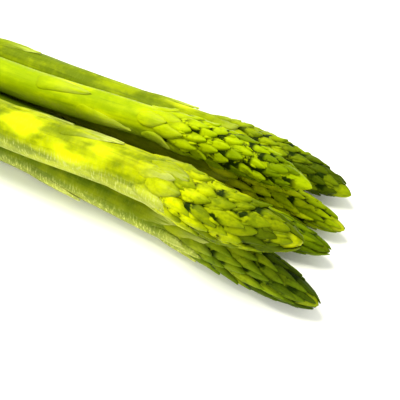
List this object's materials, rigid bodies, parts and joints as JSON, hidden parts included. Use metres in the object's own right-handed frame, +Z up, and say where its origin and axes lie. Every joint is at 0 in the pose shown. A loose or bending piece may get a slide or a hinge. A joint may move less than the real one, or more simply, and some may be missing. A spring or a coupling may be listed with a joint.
{
  "type": "asparagus bundle",
  "caption": "Lying bundle of fresh green asparagus spears, heads together, some side by side on the surface and others lying on top of them.",
  "frame": {"origin": "on the surface the bundle lies on, under the middle of its bounding box", "axes": "+X along the spears, from their cut butts to their heads; +Z up; +Y away from the viewer of the picture"},
  "size_m": [0.2174, 0.068, 0.0339],
  "materials": {
    "bright_green_skin": "thin waxy plant skin, bright yellow-green, slightly shiny",
    "deep_green_skin": "thin waxy plant skin, deeper green, slightly shiny"
  },
  "bodies": {
    "root": {"spear_upper_front": "bright_green_skin", "spear_upper_rear": "bright_green_skin", "spear_lower_front": "deep_green_skin", "spear_lower_inner": "deep_green_skin", "spear_lower_middle": "deep_green_skin", "spear_lower_rear": "bright_green_skin"}
  },
  "joints": []
}
